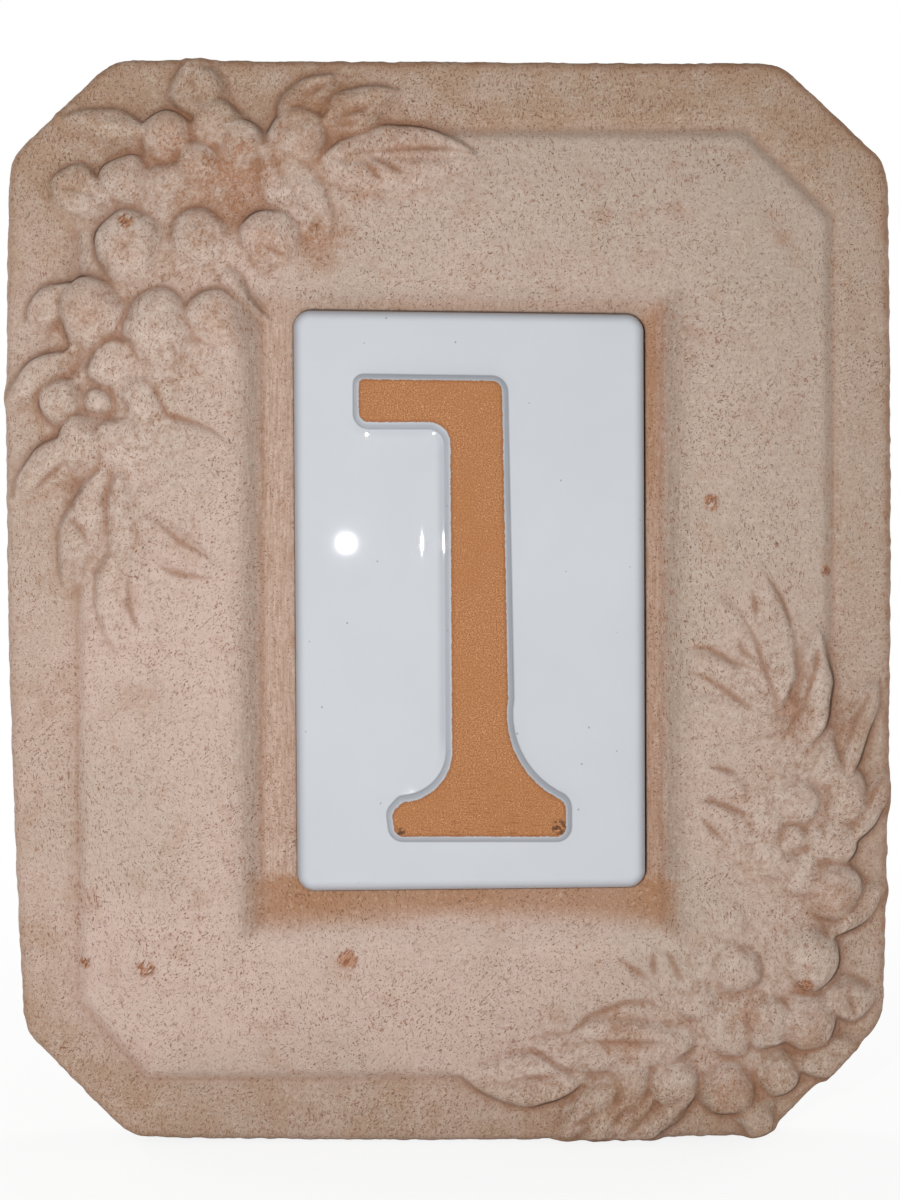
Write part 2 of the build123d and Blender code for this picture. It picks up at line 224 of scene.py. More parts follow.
# Dimples left where a stalk or calyx was: x, z
DIMPLES = [
    (-72.4, 84.6), (-71.8, 79), (-35.9, 105.2), (-56.3, 84.2), (-53.2, 81.3), (80.5, -92), (83, -82),
]
DIMPLE_DEPTH = 0.55
DIMPLE_WIDTH = 1.1

# Rings pressed in some fruits: x, z, radius
RINGS = [
    (-63.3, 101.2, 2.9), (-41.3, 77.6, 3.2), (72.9, -93.9, 4.4), (77.5, -53.5, 3.6), (-79.8, 45, 4.2),
]
RING_DEPTH = 0.45
RING_WIDTH = 0.6

# Rust-brown spots on the clay: x, z, radius
RUST_SPOTS = [
    (-22.7, -80.8, 2.9), (-68, -82.8, 2.6), (-81.8, -81.7, 1.8), (59, 21.9, 2.4), (85, 6.7, 1.6),
    (79.5, -86.5, 2.6), (-71.9, 84.4, 2.3),
]

# Brown stains on the garlands, and smudges on the panel: x, z, radius, strength
STAINS = [
    (-49, 94, 15, 0.9), (-29, 80, 10, 0.75), (-60, 101, 13, 0.6), (-30, 108, 14, 0.6), (-70, 96, 7, 0.45),
    (-40, 79, 8, 0.6), (-55, 82, 7, 0.55), (-80, 65, 7, 0.4), (-52, 64, 6.5, 0.6), (-8, 102, 10, 0.5),
    (-19, 96, 7, 0.5), (-72.3, 78.8, 4.5, 0.5), (35, 86.2, 2.6, 0.8), (41.5, 86.2, 3.2, 0.6),
    (51, 87.6, 3.4, 0.6), (75, 81.5, 2.6, 0.6), (53, 60, 1.8, 0.6), (53.3, 55, 2, 0.6), (64, -110, 8, 0.6),
    (39, -96.5, 9, 0.6), (85, -67, 6, 0.65), (67, -94, 5, 0.6), (78, -27, 8, 0.5), (91, -30, 6, 0.5),
    (80, -97, 7, 0.45), (40, -113, 9, 0.4),
]

# Levels between which the frame's side gives way to its face, and the reach of the browned edge
FACE_LEVELS = (12.8, 13.6)
EDGING_REACH = (3.2, 0.8)

# Tile and numeral
TILE_CORNERS = [(-35.0, 65.2), (43.9, 64.2), (44.3, -64.6), (-34.0, -65.5)]
TILE_CORNER_RADIUS = 4.0
TILE_FRONT_RADIUS = 2.5
TILE_THICKNESS = 8.0
BED_THICKNESS = 1.0
GLAZE_SHRINK = 0.03
NUMERAL_RISE = 2.2
NUMERAL_FLARE = 1.2
FAR_OUTSIDE = -50.0
# Cove of glaze round the numeral, broader left of its stem, and the soft fall towards the tile's edge
COVE_REACH = 4.5
COVE_RADIUS = 25.0
STEM_COVE_REACH = 8.6
STEM_COVE_RADIUS = 52.0
PILLOW_DROP = 0.15
PILLOW_REACH = 7.0
# Radius of each rounded corner of the numeral, and the least turn that is rounded
FLAG_LOW_CORNER = 2.2
FLAG_TOP_CORNER = 0.9
HEAD_CORNER = 2.4
FOOT_CORNER = 2.6
HEEL_CORNER = 2.0
NUMERAL_TURN = 0.45
# Outline of the numeral
FLAG_LEFT = -20.0
FLAG_TOP = 49.2
FLAG_UNDER = 39.6
HEAD_RIGHT = (11.9, 48.8)
FOOT_CORNERS = [(26.2, -52.7), (-11.9, -52.7), (-12.6, -47.5)]
# Curves down to the foot, up from it and under the flag, each through three points
RIGHT_CURVE = [(13.3, -22.0), (16.4, -36.9), (26.2, -45.0)]
LEFT_CURVE = [(-10.4, -45.0), (-1.7, -40.8), (0.8, -32.5)]
FLAG_CURVE = [(0.4, 34.5), (-0.9, 38.1), (-5.0, 39.6)]
# Dark chips in the numeral's foot: x, z, radius
NUMERAL_CHIPS = [(24.6, -50.6, 2.2), (-10.6, -51.7, 1.3)]

# Fineness of the meshes
STEP = 0.25
REACH_X = 104.0
REACH_Z = 126.0
RING_COLUMNS = 1700
PANEL_ROWS = 155
FRAME_TRIANGLES = 185000
TILE_STEP = 0.36
SNAP_SHARE = 0.45
BATCH = 4000
OUTLINE_POINTS = 900
NUMERAL_POINTS = 1400
DENSE_POINTS = 8000
ARC_STEP = 0.4
POCKET_WALL_ROWS = 5
POCKET_EDGE_ROWS = 4
FRONT_EDGE_ROWS = 7
SIDE_ROWS = 9
TILE_EDGE_ROWS = 9
FLOOR_INSETS = (14.0, 6.0, 1.0)
BACK_INSETS = (4.0, 14.0, 34.0)
# Rings down the tile's side and under it: share of the way down, share of the way to the middle
TILE_SIDE = [(0.35, 0.0), (0.7, 0.0), (0.93, 0.0), (1.0, 0.006), (1.0, 0.5)]


def arc(start, middle, end, count):
    """Points along the circle through three points, with both ends."""
    a, b, c = (complex(*p) for p in (start, middle, end))
    w = (c - a) / (b - a)
    centre = (b - a) * (w - abs(w) ** 2) / (2j * w.imag) + a
    radius = abs(a - centre)
    first, mid, last = (atan2((p - centre).imag, (p - centre).real) for p in (a, b, c))
    sweep = (last - first) % (2 * pi)
    if (mid - first) % (2 * pi) > sweep:
        sweep -= 2 * pi
    angles = first + sweep * np.linspace(0, 1, count)
    return [(centre.real + radius * cos(t), centre.imag + radius * sin(t)) for t in angles]


def direction(start, end):
    return (end - start) / np.linalg.norm(end - start)


def rounded(corners, radii, least_turn=0.2):
    """A closed line through the corners, with an arc of its radius at each turn sharper than least_turn."""
    points = np.array(corners, float)
    radii = np.broadcast_to(radii, len(points))
    line = []
    for here, before, after, radius in zip(points, np.roll(points, 1, 0), np.roll(points, -1, 0), radii):
        back = direction(here, before)
        onward = direction(here, after)
        turn = acos(np.clip(-back @ onward, -1, 1))
        if turn < least_turn:
            line.append(here)
            continue
        reach = radius * tan(turn / 2)
        inward = (back + onward) / np.linalg.norm(back + onward)
        centre = here + inward * radius / cos(turn / 2)
        middle = centre - inward * radius
        line += arc(here + back * reach, middle, here + onward * reach, 3 + int(turn * radius / ARC_STEP))
    return np.array(line)


def spread(line, count, closed=False):
    """Points evenly spaced along a line, from end to end if it is open."""
    if closed:
        line = np.vstack([line, line[:1]])
    steps = np.linalg.norm(np.diff(line, axis=0), axis=1)
    reach = np.concatenate([[0], np.cumsum(steps)])
    places = np.linspace(0, reach[-1], count, endpoint=not closed)
    return np.column_stack([np.interp(places, reach, line[:, k]) for k in (0, 1)])


# Places X and Z over the face of the plaque, and the direction there away from its middle
AXIS_X = np.arange(-REACH_X, REACH_X + STEP / 2, STEP)
AXIS_Z = np.arange(-REACH_Z, REACH_Z + STEP / 2, STEP)
X, Z = np.meshgrid(AXIS_X, AXIS_Z)
FACE = (X, Z)
AWAY_X = X / (np.hypot(X, Z) + 1e-6)
AWAY_Z = Z / (np.hypot(X, Z) + 1e-6)


def blur(field, width):
    """A field smoothed by a bell of this half width."""
    waves_x = np.fft.rfftfreq(field.shape[1], STEP)
    waves_z = np.fft.fftfreq(field.shape[0], STEP)[:, None]
    bell = np.exp(-2 * pi ** 2 * ((waves_x * width) ** 2 + (waves_z * width) ** 2))
    return np.fft.irfft2(np.fft.rfft2(field) * bell, field.shape)


def ripple(seed, width, depth=1.0):
    """Seeded unevenness with bumps of about this size, mostly between minus depth and depth."""
    field = blur(np.random.default_rng(seed).standard_normal(X.shape), width)
    return depth * (field / (2 * field.std()))


def at_points(field, x, z):
    """Values of a field at points, read between its steps."""
    column = np.clip((x + REACH_X) / STEP, 0, field.shape[1] - 1.001)
    row = np.clip((z + REACH_Z) / STEP, 0, field.shape[0] - 1.001)
    left = column.astype(int)
    low = row.astype(int)
    across = column - left
    up = row - low
    lower = field[low, left] * (1 - across) + field[low, left + 1] * across
    upper = field[low + 1, left] * (1 - across) + field[low + 1, left + 1] * across
    return lower * (1 - up) + upper * up


def unit(value):
    """Value held between 0 and 1."""
    return np.clip(value, 0, 1)


def above(value):
    """Value, or nothing where it is below zero."""
    return np.clip(value, 0, None)


def away_from(x, z, face, place=...):
    """Distance from a point, over one window of the face."""
    return np.hypot(face[0][place] - x, face[1][place] - z)


def window(x0, x1, z0, z1, margin=3.0):
    """The rows and columns of the fields that cover a box."""
    columns = np.searchsorted(AXIS_X, [min(x0, x1) - margin, max(x0, x1) + margin])
    rows = np.searchsorted(AXIS_Z, [min(z0, z1) - margin, max(z0, z1) + margin])
    return slice(*rows), slice(*columns)


def groove_distance():
    """Distance outside the groove line, negative over the panel."""
    corners = np.array(GROOVE_LINE)
    outside = np.full(X.shape, -1e9)
    for here, after in zip(corners, np.roll(corners, -1, 0)):
        along = direction(here, after)
        outside = np.maximum(outside, (X - here[0]) * -along[1] + (Z - here[1]) * along[0])
    return outside


def dish_distance():
    """Distance outside the floor of the dish, negative over it."""
    across = np.abs(X - DISH_CENTRE[0]) - DISH_WIDTH / 2 + DISH_CORNER
    up = np.abs(Z - DISH_CENTRE[1]) - DISH_LENGTH / 2 + DISH_CORNER
    return np.hypot(above(across), above(up)) + np.minimum(np.maximum(across, up), 0) - DISH_CORNER


def plain_height(outside, gap):
    """Height of the border, groove, raised panel and dish, with no relief."""
    places = [-PANEL_RISE_WIDTH, -PANEL_BEVEL - GROOVE_FLAT, -GROOVE_FLAT, 0.0, BORDER_SLOPE]
    heights = [PANEL_TOP, PANEL_EDGE, GROOVE_FOOT, GROOVE_FOOT, BORDER_TOP]
    face = blur(np.interp(outside, places, heights), GROOVE_SOFTNESS)
    dish = np.interp(gap, [0, DISH_SLOPE], [DISH_FLOOR, PANEL_TOP])
    return np.where(gap < DISH_SLOPE + DISH_BROW, blur(dish, DISH_SOFTNESS), face)


def eased(value, low, high):
    """Value eased from 0 at low to 1 at high."""
    share = unit((value - low) / (high - low))
    return share * share * (3 - 2 * share)


def lay(ground, top, place, softness):
    """Lay a form on the ground, with a soft crease where they meet."""
    under = ground[place]
    ground[place] = np.maximum(under, top) + above(softness - np.abs(under - top)) ** 2 / (4 * softness)


def swelling(ground, worn, lift, x, z, half_width, half_height, rise):
    """A worn fruit, petal or bud: steep on the side away from the tile, and soft on the other."""
    place = window(x - half_width, x + half_width, z - half_height, z + half_height, FRUIT_MARGIN)
    across = (worn[0][place] - x) / half_width
    up = (worn[1][place] - z) / half_height
    out = np.sqrt(across ** 2 + up ** 2) + 1e-6
    outer = eased((across * AWAY_X[place] + up * AWAY_Z[place]) / out, -0.2, 0.8)
    crown = (rise - lift) * unit(1 - out ** 2) ** (FRUIT_ROUNDING - OUTER_ROUNDING * outer)
    fall = (INNER_FALL + OUTER_FALL * outer) * min(half_width, half_height) * above(out - 1)
    lay(ground, PANEL_TOP + lift + crown - fall, place, FRUIT_CREASE)


def leaf(ground, worn, heights, deepest_crown, base_x, base_z, tip_x, tip_z, width):
    """A pointed leaf that falls from base to tip, ridged if it is narrow, crowned with veins if broad."""
    half = width / 2
    place = window(min(base_x, tip_x) - half, max(base_x, tip_x) + half,
                   min(base_z, tip_z) - half, max(base_z, tip_z) + half)
    length = hypot(tip_x - base_x, tip_z - base_z)
    heading = ((tip_x - base_x) / length, (tip_z - base_z) / length)
    away_x = worn[0][place] - base_x
    away_z = worn[1][place] - base_z
    along = (away_x * heading[0] + away_z * heading[1]) / length
    side = away_z * heading[0] - away_x * heading[1]
    edge = 4 * unit(along) * unit(1 - along) * half
    crown = min(LEAF_CROWN_SHARE * width, deepest_crown)
    top = heights[0] + (heights[1] - heights[0]) * unit(along)
    if width >= BROAD_LEAF_WIDTH:
        top = top - crown * (side / half) ** 2 - MIDRIB_SHARE * crown * np.exp(-(side / MIDRIB_WIDTH) ** 2)
        branch = (np.abs(side) * BRANCH_LEAN - along * length) * 2 * pi / (BRANCH_SPACING * width)
        top = top - BRANCH_SHARE * crown * (0.5 + 0.5 * np.cos(branch)) ** 4
    else:
        top = top - crown * np.abs(side) / half
    outer = eased(np.sign(side) * (AWAY_Z[place] * heading[0] - AWAY_X[place] * heading[1]), -0.3, 0.7)
    beyond = above(np.abs(side) - edge) + length * above(np.abs(along - 0.5) - 0.5)
    near_edge = unit(1 - (edge - np.abs(side)) / LEAF_EDGE_WIDTH)
    drop = (0.8 - 0.5 * outer) * crown * near_edge ** 2
    drop = drop + (LEAF_INNER_FALL + LEAF_OUTER_FALL * deepest_crown * outer) * beyond
    lay(ground, top - drop, place, LEAF_CREASE)


def vein(line, place):
    """A pressed line from 0 to 1, widest and deepest in its middle, over one window of the face."""
    x, z = X[place], Z[place]
    nearest = np.full(x.shape, 1e9)
    share = np.zeros(x.shape)
    for step, ((x0, z0), (x1, z1)) in enumerate(zip(line, line[1:])):
        reach = (x1 - x0) ** 2 + (z1 - z0) ** 2
        along = unit(((x - x0) * (x1 - x0) + (z - z0) * (z1 - z0)) / reach)
        gap = np.hypot(x - x0 - along * (x1 - x0), z - z0 - along * (z1 - z0))
        share = np.where(gap < nearest, (step + along) / (len(line) - 1), share)
        nearest = np.minimum(nearest, gap)
    fullness = VEIN_END + (1 - VEIN_END) * np.sin(pi * share)
    return fullness * np.exp(-(nearest / (VEIN_LINE_WIDTH * fullness)) ** 2)


def garland_body(swellings, gap):
    """The low mass of clay that the fruits and petals sit on, reaching inward from them."""
    body = np.zeros(X.shape)
    for x, z, a, b, _ in swellings:
        place = window(x - a, x + a, z - b, z + b)
        inside = ((X[place] - x) / a) ** 2 + ((Z[place] - z) / b) ** 2 < 1
        body[place] = np.maximum(body[place], inside)
    body = at_points(blur(body, BODY_SOFTNESS), X + BODY_SHIFT * AWAY_X, Z + BODY_SHIFT * AWAY_Z)
    return BODY_RISE * eased(body, 0.02, 0.8) * eased(gap, 1.0, 6.0)


def garlands(ground, gap):
    """Lay both garlands on the plain face, worn and a little uneven, as modelled by hand."""
    worn = (X + ripple(*HAND_SWAY_X), Z + ripple(*HAND_SWAY_Z))
    swellings = [(x, z, a, b, FRUIT_RISE * min(a, b)) for x, z, a, b in UPPER_FRUITS + LOWER_FRUITS]
    swellings += [(x, z, r, r, DOME_RISE * r) for x, z, r in UPPER_PETALS + LOWER_PETALS + LOWER_BUDS]
    body = garland_body(swellings, gap)
    swellings += [(x, z, r, r, BUTTON_RISE * r) for x, z, r in BUTTONS]

    ground = ground + body
    for x, z, _ in BUTTONS:
        filled = eased(away_from(x, z, FACE), *FLOWER_REACH)
        ground = ground + filled * above(FLOWER_GROUND - ground)
    for sizes in LEAVES:
        leaf(ground, worn, *LEAF_FORM, *sizes)
    for sizes in LOW_LEAVES:
        leaf(ground, worn, *LOW_LEAF_FORM, *sizes)
    for sizes in swellings:
        lift = at_points(body, np.array([sizes[0]]), np.array([sizes[1]]))[0]
        swelling(ground, worn, BODY_LIFT * lift, *sizes)

    veins = np.zeros(X.shape)
    for line in VEIN_LINES:
        xs, zs = zip(*line)
        place = window(min(xs), max(xs), min(zs), max(zs))
        veins[place] = np.maximum(veins[place], vein(line, place))
    ground = ground - VEIN_LINE_DEPTH * veins
    for x, z in DIMPLES:
        place = window(x, x, z, z)
        ground[place] -= DIMPLE_DEPTH * np.exp(-(away_from(x, z, FACE, place) / DIMPLE_WIDTH) ** 2)
    for x, z, radius in RINGS:
        place = window(x - radius, x + radius, z - radius, z + radius)
        ground[place] -= RING_DEPTH * np.exp(-((away_from(x, z, worn, place) - radius) / RING_WIDTH) ** 2)
    return ground, veins


def dish_fields(gap):
    """Fields that say where the dish is ochre and creased at its foot, where shade is painted grey on its
    slopes, and where a highlight is painted on the slope below the tile.
    """
    across = (X - DISH_CENTRE[0]) / (DISH_WIDTH / 2)
    past_x = np.abs(X - DISH_CENTRE[0]) - DISH_WIDTH / 2
    past_z = np.abs(Z - DISH_CENTRE[1]) - DISH_LENGTH / 2
    beside = eased(past_x - past_z, -2.5, 2.5)
    below = (1 - beside) * (Z < 0)
    over = (1 - beside) * (Z > 0)
    uneven = 0.85 + 0.15 * np.clip(ripple(31, 5.0), -1, 1)
    foot = np.exp(-((gap + 0.1 + ripple(32, 4.0, 0.25)) / 0.9) ** 2)
    slope = eased(gap, -0.3, 1.6) * eased(gap, DISH_SLOPE + 4.5, 1.0)
    under_tile = TILE_CORNERS[3][1] - Z
    wedge = np.interp(X, *OCHRE_WEDGE) + ripple(34, 5.0)
    wedge = eased(under_tile, wedge, 0.35 * wedge) * eased(np.abs(across), 1.12, 0.98) * (under_tile > -3)
    right = 0.25 + (across > 0) * (0.35 + 0.35 * eased(Z, 10, 50))
    return {
        "dish": eased(gap, 1.0, -0.8) * (beside + 0.4 * below + 0.3 * over),
        "ochre": np.maximum(wedge, eased(gap, 0.5, -2.0) * (0.35 * over + beside * right)) * uneven,
        "valley": foot * (beside + 0.3 * over) * uneven,
        # Painted shade on the dish's slopes, mostly at its sides, and a painted highlight on the slope below
        # the tile
        "slope": slope * (beside + 0.15 * over),
        "slope_highlight": slope * below,
    }


def face_fields():
    """Height of the frame's face, and fields from 0 to 1 that say where it is stained, creased or pale, and
    where shade or light is painted on it.
    """
    outside = groove_distance()
    gap = dish_distance()
    plain = plain_height(outside, gap)
    height, veins = garlands(plain, gap)
    relief = blur(unit((height - plain) / 1.5), 1.0)
    height = height + relief * (ripple(*LUMPS) + ripple(*FINE_LUMPS))
    height = height + ripple(*SWAY) + ripple(*FINE_SWAY)
    height = height + ripple(*DISH_LUMPS) * eased(gap, DISH_SLOPE + DISH_BROW, 0)
    height = np.minimum(blur(height, FACE_WEAR), TALLEST)

    rise_z, rise_x = np.gradient(height, STEP)
    falls_away = -(rise_x * AWAY_X + rise_z * AWAY_Z)
    near_garland = unit(1.6 * blur(relief, 5.0))
    contour = eased(blur(relief, 2.5), 0.8, 0.4)
    tall = 0.45 + 0.55 * eased(blur(height - plain, 1.5), 0.5, 1.5)
    crease = 0.75 * eased(blur(height, 0.9) - height, 0.05, 0.35) * (0.6 + 0.4 * near_garland)
    groove = np.exp(-((outside + 0.25) / 0.5) ** 2) * (1 - near_garland)
    groove = groove * (0.65 + 0.35 * np.clip(ripple(35, 6.0), -1, 1))
    hollow = eased(blur(height, 3.5) - height, 0.1, 1.1) * near_garland
    wobble = ripple(33, 4.0)
    stain = np.zeros(X.shape)
    for x, z, radius, strength in STAINS:
        away = away_from(x, z, FACE) + 0.2 * radius * wobble
        stain = np.maximum(stain, strength * eased(away, radius, 0.3 * radius))
    brown = 0.3 + 0.4 * eased(np.abs(Z), 85, 112) + 0.15 * eased(X, -60, 90)
    brown = brown + 0.25 * eased(Z, 60, 110)
    left_corner = eased(np.abs(Z) / REACH_Z - X / REACH_X, 1.4, 1.7)
    brown = brown + (0.45 + 0.2 * (Z > 0)) * left_corner
    return height, {
        "crease": np.maximum(np.maximum(crease, 0.75 * groove), veins),
        # Painted shade: where the relief falls steeply away from the middle
        "shade": eased(falls_away, 1.0, 2.2) * near_garland * tall * (0.5 + 0.5 * contour),
        "hollow": hollow * (0.35 + 0.65 * eased(stain, 0.0, 0.4)),
        "crest": eased(height - blur(height, 3.0), 0.1, 0.9) * near_garland,
        "garland": near_garland,
        "stain": stain,
        "browned": eased(outside, -3.0, 2.0) * unit(brown),
        "pale": unit(0.5 - 0.45 * X / 100 - 0.25 * Z / 122),
        "border": eased(outside, 6.0, 9.0),
        **dish_fields(gap),
    }


def outline():
    """Outline of the frame as a closed line, from the top left cut round to the right."""
    corners = [*TOP_LEFT_CUT, *TOP_RIGHT_CUT]
    corners += arc(TOP_RIGHT_CUT[1], RIGHT_BOW, BOTTOM_RIGHT_CUT[0], 20)[1:]
    corners += [BOTTOM_RIGHT_CUT[1]]
    corners += arc(BOTTOM_RIGHT_CUT[1], BOTTOM_BOW, BOTTOM_LEFT_CUT[0], 16)[1:]
    corners += [BOTTOM_LEFT_CUT[1]]
    corners += arc(BOTTOM_LEFT_CUT[1], LEFT_BOW, TOP_LEFT_CUT[0], 20)[1:-1]
    return rounded(corners, CORNER_RADIUS)


def four_sides(line, marks):
    """A closed line cut at the points nearest to four marks, into four dense stretches."""
    dense = spread(line, DENSE_POINTS, closed=True)
    cuts = [int(np.argmin(np.linalg.norm(dense - np.array(mark), axis=1))) for mark in marks]
    return [np.roll(dense, -first, 0)[:(last - first) % len(dense) + 1]
            for first, last in zip(cuts, cuts[1:] + cuts[:1])]


def outward(line):
    """Unit normals of a closed clockwise line, pointing out."""
    along = np.roll(line, -1, 0) - np.roll(line, 1, 0)
    along /= np.linalg.norm(along, axis=1)[:, None]
    return np.column_stack([-along[:, 1], along[:, 0]])


def pocket_line():
    """Mouth of the pocket as a closed line, and its corners before they are rounded."""
    gap = POCKET_GAP
    corners = []
    for (x, z), (side_x, side_z) in zip(TILE_CORNERS, ((-1, 1), (1, 1), (1, -1), (-1, -1))):
        corners.append((x + side_x * gap + POCKET_SHIFT[0], z + side_z * gap + POCKET_SHIFT[1]))
    return rounded(corners, TILE_CORNER_RADIUS + gap), corners


def ring_lines():
    """Matching closed lines of columns: the mouth of the pocket, and the outline."""
    cuts = [TOP_LEFT_CUT, TOP_RIGHT_CUT, BOTTOM_RIGHT_CUT, BOTTOM_LEFT_CUT]
    outer_sides = four_sides(outline(), [np.mean(cut, axis=0) for cut in cuts])
    inner_sides = four_sides(*pocket_line())
    total = sum(len(side) for side in outer_sides)
    mouth = []
    edge = []
    for inner, outer in zip(inner_sides, outer_sides):
        count = round(RING_COLUMNS * len(outer) / total)
        mouth.append(spread(inner, count + 1)[:-1])
        edge.append(spread(outer, count + 1)[:-1])
    return np.vstack(mouth), np.vstack(edge)


def worn_edge(count):
    """How far the edge is worn back at each of so many columns round the outline."""
    chance = np.random.default_rng(51).normal(size=count)
    waves = np.fft.rfft(chance)
    turns = np.arange(len(waves))
    wear = np.fft.irfft(waves * (np.exp(-(turns / 160) ** 2) + 0.35 * np.exp(-(turns / 500) ** 2)), count)
    return LEAST_WEAR + EDGE_WEAR * unit(0.5 + wear / (3 * wear.std()))


def frame_rows(height):
    """Rows of points from the middle of the pocket floor, over the face and the edge, to the back."""
    mouth, edge = ring_lines()
    mouth_out = outward(mouth)
    edge_out = outward(edge)
    edge = edge - edge_out * worn_edge(len(edge))[:, None]
    rim = mouth + mouth_out * POCKET_EDGE_RADIUS
    lip = edge - edge_out * FRONT_EDGE_RADIUS
    rim_height = at_points(height, *rim.T)

    rows = [(mouth - mouth_out * inset, np.full(len(mouth), POCKET_FLOOR)) for inset in FLOOR_INSETS]
    wall = rim_height - POCKET_EDGE_RADIUS - POCKET_FLOOR
    rows += [(mouth, POCKET_FLOOR + wall * share) for share in np.linspace(0, 1, POCKET_WALL_ROWS)]
    for turn in np.linspace(0, pi / 2, POCKET_EDGE_ROWS)[1:-1]:
        reach = POCKET_EDGE_RADIUS * (1 - cos(turn))
        rows.append((mouth + mouth_out * reach, rim_height - POCKET_EDGE_RADIUS * (1 - sin(turn))))

    for share in np.linspace(0, 1, PANEL_ROWS):
        points = rim * (1 - share) + lip * share
        rows.append((points, at_points(height, *points.T)))

    lip_height = rows[-1][1]
    for turn in np.linspace(0, pi / 2, FRONT_EDGE_ROWS)[1:]:
        inset = FRONT_EDGE_RADIUS * (1 - sin(turn))
        rows.append((edge - edge_out * inset, lip_height - FRONT_EDGE_RADIUS * (1 - cos(turn))))
    low_edge = rows[-1][1]
    for share in np.linspace(0.12, 1, SIDE_ROWS):
        rows.append((edge, low_edge * (1 - share) + BACK_EDGE_RADIUS * share))
    for inset in (BACK_EDGE_RADIUS, *BACK_INSETS):
        rows.append((edge - edge_out * inset, np.zeros(len(edge))))
    return rows


def placed(name, data, place=(0.0, 0.0, 0.0)):
    """A new object in the scene."""
    holder = bpy.data.objects.new(name, data)
    holder.location = place
    bpy.context.scene.collection.objects.link(holder)
    return holder


def smooth(mesh):
    mesh.polygons.foreach_set("use_smooth", np.ones(len(mesh.polygons), bool))


def mesh_piece(name, points, quads, fans=()):
    """A smooth closed piece from points in millimetres as x, height, z. Each fan closes a loop at a point."""
    verts = np.column_stack([points[:, 0], -points[:, 1], points[:, 2]]) * MM
    faces = quads.tolist()
    for tip, loop in fans:
        faces += [(tip, a, b) for a, b in zip(loop, loop[1:] + loop[:1])]
    mesh = bpy.data.meshes.new(name)
    mesh.from_pydata(verts.tolist(), [], faces)
    mesh.validate()
    smooth(mesh)
    return placed(name, mesh)


def thin_out(piece, triangles):
    """Drop the points that the form needs least, down to about so many triangles."""
    count = sum(len(p.vertices) - 2 for p in piece.data.polygons)
    fewer = piece.modifiers.new("fewer", "DECIMATE")
    fewer.ratio = triangles / count
    bpy.context.view_layer.update()
    evaluated = piece.evaluated_get(bpy.context.evaluated_depsgraph_get())
    mesh = bpy.data.meshes.new_from_object(evaluated)
    piece.modifiers.clear()
    old = piece.data
    piece.data = mesh
    bpy.data.meshes.remove(old)
    smooth(mesh)


def crisp_back(piece):
    """Shade the edge between the sides and the flat back as an edge."""
    mesh = piece.data
    mesh.set_sharp_from_angle(angle=BACK_EDGE_TURN)
    ends = np.zeros(2 * len(mesh.edges), int)
    mesh.edges.foreach_get("vertices", ends)
    level = read_points(piece)[1]
    low = (level[ends.reshape(-1, 2)] < BACK_EDGE_LEVEL).all(axis=1)
    sharp = np.zeros(len(mesh.edges), bool)
    mesh.edges.foreach_get("use_edge_sharp", sharp)
    mesh.edges.foreach_set("use_edge_sharp", sharp & low)


def write_attribute(piece, name, values):
    attribute = piece.data.attributes.new(name, "FLOAT", "POINT")
    attribute.data.foreach_set("value", np.asarray(values, np.float32))


def read_points(piece):
    """Points of a piece in millimetres, as x, height, z."""
    co = np.zeros(3 * len(piece.data.vertices))
    piece.data.vertices.foreach_get("co", co)
    co = co.reshape(-1, 3) / MM
    return co[:, 0], -co[:, 1], co[:, 2]


def terracotta_frame():
    """The clay frame: one skin over the pocket, dish, panel, garlands, edge and back."""
    height, fields = face_fields()
    rows = frame_rows(height)
    columns = len(rows[0][0])
    points = np.vstack([np.column_stack([p[:, 0], level, p[:, 1]]) for p, level in rows])
    starts = np.arange(columns)
    nexts = (starts + 1) % columns
    corners = np.column_stack([starts, starts + columns, nexts + columns, nexts])
    quads = np.vstack([row * columns + corners for row in range(len(rows) - 1)])
    floor_tip = len(points)
    back_tip = floor_tip + 1
    points = np.vstack([points, [(DISH_CENTRE[0], POCKET_FLOOR, DISH_CENTRE[1]), (0.0, 0.0, 0.0)]])
    first = starts.tolist()
    last = ((len(rows) - 1) * columns + starts)[::-1].tolist()
    piece = mesh_piece("frame_clay", points, quads, [(floor_tip, first), (back_tip, last)])
    thin_out(piece, FRAME_TRIANGLES)
    crisp_back(piece)

    x, level, z = read_points(piece)
    for name, field in fields.items():
        write_attribute(piece, name, at_points(field, x, z))
    near_edge = np.full(len(x), 1e3)
    border = at_points(fields["border"], x, z) > 0
    edge_line = spread(outline(), OUTLINE_POINTS, closed=True)
    near_edge[border] = signed_distance(x[border], z[border], edge_line)[0]
    upper_right = eased(x / REACH_X + z / REACH_Z, -0.6, 0.8)
    write_attribute(piece, "edging", eased(near_edge, *EDGING_REACH) * (0.3 + 0.7 * upper_right))
    gap = at_points(dish_distance(), x, z)
    # Where the pocket's walls and floor lie below the dish, to be painted dark as shade
    write_attribute(piece, "pocket", (gap < -1) * eased(level, DISH_FLOOR - 0.4, DISH_FLOOR - 1.0))
    return piece


def numeral_line():
    """Top outline of the numeral as a closed line with rounded corners."""
    corners = [(FLAG_LEFT, FLAG_UNDER), (FLAG_LEFT, FLAG_TOP), HEAD_RIGHT]
    radii = [FLAG_LOW_CORNER, FLAG_TOP_CORNER, HEAD_CORNER]
    curves = [
        (arc(*RIGHT_CURVE, 12), FOOT_CORNER),
        (FOOT_CORNERS, HEEL_CORNER),
        (arc(*LEFT_CURVE, 12), HEEL_CORNER),
        (arc(*FLAG_CURVE, 8), HEEL_CORNER),
    ]
    for points, radius in curves:
        corners += points
        radii += [radius] * len(points)
    return spread(rounded(corners, radii, NUMERAL_TURN), NUMERAL_POINTS, closed=True)


